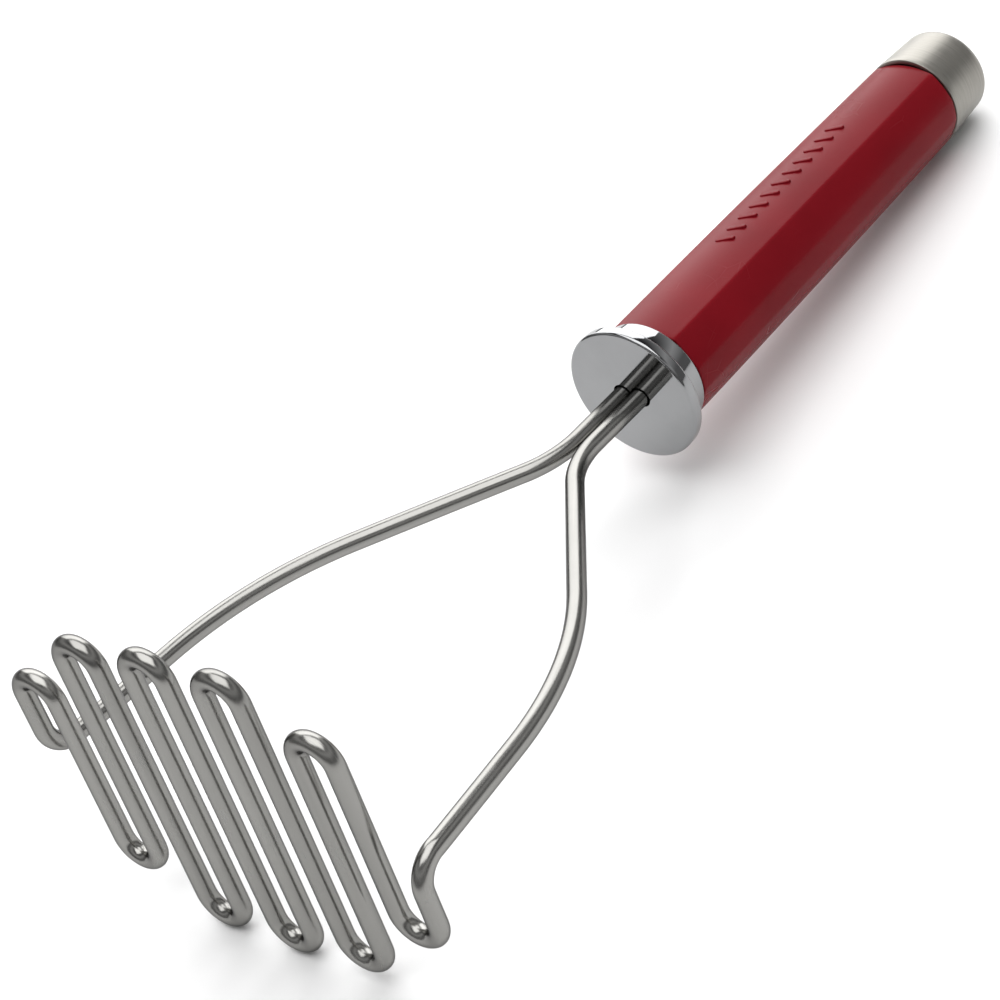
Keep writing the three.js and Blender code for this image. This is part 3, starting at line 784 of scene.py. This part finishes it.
def rib_tree():
    """Geometry Nodes: a row of ribs that follows the taper of the top facet."""
    tree = bpy.data.node_groups.new("Rib Row", "GeometryNodeTree")
    for label, kind in (("Rib", "NodeSocketGeometry"), ("Count", "NodeSocketInt"),
                        ("Step", "NodeSocketFloat"), ("Start", "NodeSocketFloat"),
                        ("Grip Start", "NodeSocketFloat"), ("Grip Length", "NodeSocketFloat"),
                        ("Radius", "NodeSocketFloat"), ("Radius Fall", "NodeSocketFloat"),
                        ("Taper Power", "NodeSocketFloat"), ("Facet", "NodeSocketFloat"),
                        ("Facet Gain", "NodeSocketFloat"), ("Slant", "NodeSocketFloat"),
                        ("Finish", "NodeSocketMaterial")):
        tree.interface.new_socket(label, in_out="INPUT", socket_type=kind)
    tree.interface.new_socket("Ribs", in_out="OUTPUT", socket_type="NodeSocketGeometry")
    t = Tree(tree)
    i = t.node("NodeGroupInput").outputs
    line = t.node("GeometryNodeMeshLine", {
        "Count": i["Count"],
        "Start Location": t.node("ShaderNodeCombineXYZ", {"X": i["Start"]}).outputs[0],
        "Offset": t.node("ShaderNodeCombineXYZ", {"X": i["Step"]}).outputs[0]}).outputs[0]
    point = t.node("GeometryNodeInputPosition").outputs[0]
    x = t.node("ShaderNodeSeparateXYZ", {"Vector": point}).outputs["X"]
    along = t.math("DIVIDE", t.math("SUBTRACT", x, i["Grip Start"]), i["Grip Length"])
    fall = t.math("MULTIPLY", t.math("POWER", along, i["Taper Power"]), i["Radius Fall"])
    share = t.math("ADD", i["Facet"], t.math("MULTIPLY", along, i["Facet Gain"]))
    height = t.math("MULTIPLY", t.math("SUBTRACT", i["Radius"], fall), share)
    row = t.node("GeometryNodeSetPosition", {
        "Geometry": line, "Offset": t.node("ShaderNodeCombineXYZ", {"Z": height}).outputs[0]}).outputs[0]
    turn = t.node("ShaderNodeCombineXYZ", {"Z": i["Slant"]}).outputs[0]
    ribs = t.node("GeometryNodeInstanceOnPoints", {
        "Points": row, "Instance": i["Rib"], "Rotation": turn}).outputs[0]
    real = t.node("GeometryNodeRealizeInstances", {"Geometry": ribs}).outputs[0]
    coated = t.node("GeometryNodeSetMaterial", {"Geometry": real, "Material": i["Finish"]}).outputs[0]
    t.feed(t.node("NodeGroupOutput").inputs["Ribs"], coated)
    return tree


class MASHER_OT_ribs(bpy.types.Operator):
    """Sets the row of slanted ribs on the grip's top facet"""
    bl_idname = "masher.ribs"
    bl_label = "Set Ribs"

    def execute(self, context):
        scene = context.scene
        g, plan = scene.masher_grip, Plan(scene)
        plastic = bpy.data.materials["glossy_red_plastic"]
        rib = mesh_object("rib", *rib_mesh(g))
        # the facet's height over the axis, as a share of the radius, at both ends
        flat = math.cos(g.top_face / 2)
        facet, end_facet = (flat + (1 - flat) * bulge for bulge in (g.bulge, g.end_bulge))
        with_nodes(rib, rib_tree(), Count=g.rib_count, Step=g.rib_step,
                   Start=plan.grip_x + g.length * g.rib_place - (g.rib_count - 1) / 2 * g.rib_step,
                   Grip_Start=plan.grip_x, Grip_Length=g.length, Radius=g.diameter / 2,
                   Radius_Fall=(g.diameter - g.end_diameter) / 2, Taper_Power=g.taper_power,
                   Facet=facet, Facet_Gain=end_facet - facet, Slant=g.rib_slant, Finish=plastic)
        ribs = bake(rib, "grip_ribs")
        face_out(ribs.data)
        roll = -g.rib_shift / grip_radius(g, math.pi / 2, g.rib_place)
        ribs.data.transform(plan.place @ Matrix.Rotation(roll, 4, "X"))
        finish_piece(ribs, plastic, "grip_red", sharp=50)
        return {"FINISHED"}


# ---------- cap and what is inside ----------

class MASHER_OT_cap(bpy.types.Operator):
    """Spins the brushed end cap as a thin shell with a rounded end"""
    bl_idname = "masher.cap"
    bl_label = "Spin Cap"

    def execute(self, context):
        scene = context.scene
        c, g, plan = scene.masher_cap, scene.masher_grip, Plan(scene)
        r, mouth, e = plan.cap_r, g.end_diameter / 2, c.edge_radius
        x0, x1, lip, steps = plan.cap_x, plan.cap_end, c.lip, 8
        slope = [(x0 + lip + (x1 - e - x0 - lip) * i / steps, mouth + (r - mouth) * i / steps)
                 for i in range(steps)]
        ring = (r - e) * 0.9  # keeps the flat end flat up to its rounded edge
        inset = lip * 0.3  # how far the middle of the rounded mouth stays inside its corner
        # from the middle of its end, along the inside to the mouth, and back over the outside
        profile = [
            (x1 - c.wall, 0), (x1 - c.wall, ring), *arc(x1 - e, r - e, e - c.wall, 0, 90, steps=8),
            (x0, mouth - c.wall), (x0, mouth - lip), (x0 + inset, mouth - inset),
            *slope, *arc(x1 - e, r - e, e, 90, 0, steps=16), (x1, ring), (x1, 0)]
        cap = turned("brushed_cap", profile, plan.place)
        finish_piece(cap, cap_material(scene.masher_finish, plan), "cap_steel", "end_cap", sharp=40)
        return {"FINISHED"}


class MASHER_OT_inside(bpy.types.Operator):
    """Gives the core, the plug and the screw inside the grip their materials"""
    bl_idname = "masher.inside"
    bl_label = "Finish Inner Pieces"

    def execute(self, context):
        finish, plan = context.scene.masher_finish, Plan(context.scene)
        plastic, steel = core_material(finish, plan), screw_material(finish, plan)
        for node, material in (("grip_core", plastic), ("cap_plug", plastic), ("cap_screw", steel)):
            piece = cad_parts[node]
            if not piece.data.materials:
                piece.data.materials.append(material)
            for slot in piece.material_slots:
                slot.material = material
        return {"FINISHED"}


# ---------- stage ----------

def area_light(name, place, aim, sides, power):
    light = bpy.data.lights.new(name, "AREA")
    light.shape, light.energy = "RECTANGLE", power
    light.size, light.size_y = sides
    obj = link(bpy.data.objects.new(name, light))
    obj.location = place
    obj.rotation_euler = (Vector(aim) - Vector(place)).to_track_quat("-Z", "Y").to_euler()


class MASHER_OT_stage(bpy.types.Operator):
    """Lays the pale floor and sets the soft lights and the camera"""
    bl_idname = "masher.stage"
    bl_label = "Set Stage"

    def execute(self, context):
        scene = context.scene
        s, plan = scene.masher_stage, Plan(scene)
        half = s.floor_size / 2
        corners = [(-half, -half, 0), (half, -half, 0), (half, half, 0), (-half, half, 0)]
        floor = mesh_object("floor", corners, [(0, 1, 2, 3)])
        m, t, bsdf = new_material("pale_floor", Roughness=0.6)
        at = t.node("ShaderNodeTexCoord").outputs["Object"]
        tone = t.noise(at, 2.0, detail=2.0)
        f = scene.masher_finish.floor
        t.feed(bsdf.inputs["Base Color"], t.mix(tone, shade(f, 0.99), shade(f, 1.0)))
        floor.data.materials.append(m)

        area_light("key_behind", s.key_place, s.light_aim, s.key_sides, s.key_power)
        area_light("top", s.top_place, s.light_aim, s.top_sides, s.top_power)

        world = bpy.data.worlds.new("studio")
        scene.world = world
        world.use_nodes = True
        w = Tree(world.node_tree)
        back = world.node_tree.nodes["Background"]
        direction = w.node("ShaderNodeTexCoord").outputs["Generated"]
        up = w.node("ShaderNodeSeparateXYZ", {"Vector": direction}).outputs["Z"]
        ramp = w.node("ShaderNodeValToRGB", {"Fac": up})
        stops = ramp.color_ramp.elements
        stops[0].position, stops[0].color = LOW_STOP
        stops[1].position, stops[1].color = HIGH_STOP
        stops.new(MIDDLE_STOP[0]).color = MIDDLE_STOP[1]
        w.feed(back.inputs["Color"], ramp.outputs["Color"])
        back.inputs["Strength"].default_value = WORLD_STRENGTH

        camera = bpy.data.cameras.new("camera")
        camera.lens, camera.sensor_width = s.lens, SENSOR
        camera.clip_start, camera.clip_end = CAMERA_CLIP
        eye = link(bpy.data.objects.new("camera", camera))
        axes = Matrix(CAMERA_AXES).transposed().to_4x4()
        eye.matrix_world = plan.place @ Matrix.Translation(s.camera_place) @ axes
        scene.camera = eye
        scene.view_settings.view_transform = "Standard"
        return {"FINISHED"}


# ---------- panel, registration and run ----------

OPERATORS = (MASHER_OT_wire, MASHER_OT_bolster, MASHER_OT_grip, MASHER_OT_ribs, MASHER_OT_cap,
             MASHER_OT_inside, MASHER_OT_stage)


class VIEW3D_PT_masher(bpy.types.Panel):
    """Lists the masher's pieces and their sizes"""
    bl_label = "Wire Masher"
    bl_idname = "VIEW3D_PT_masher"
    bl_space_type = "VIEW_3D"
    bl_region_type = "UI"
    bl_category = "Masher"

    def draw(self, context):
        for operator in OPERATORS:
            self.layout.operator(operator.bl_idname)
        for key, group in GROUPS.items():
            box = self.layout.box()
            box.label(text=group.__doc__)
            sizes = getattr(context.scene, key)
            for name in group.__annotations__:
                box.prop(sizes, name)


def register():
    for cls in (*GROUPS.values(), *OPERATORS, VIEW3D_PT_masher):
        bpy.utils.register_class(cls)
    for key, group in GROUPS.items():
        setattr(bpy.types.Scene, key, PointerProperty(type=group))


def unregister():
    for key in GROUPS:
        delattr(bpy.types.Scene, key)
    for cls in (VIEW3D_PT_masher, *reversed(OPERATORS), *reversed(GROUPS.values())):
        bpy.utils.unregister_class(cls)


def main():
    register()
    build_shader_groups()
    bpy.ops.masher.wire()
    bpy.ops.masher.bolster()
    bpy.ops.masher.grip()
    bpy.ops.masher.ribs()
    bpy.ops.masher.cap()
    bpy.ops.masher.inside()
    bpy.ops.masher.stage()


if __name__ == "__main__":
    main()
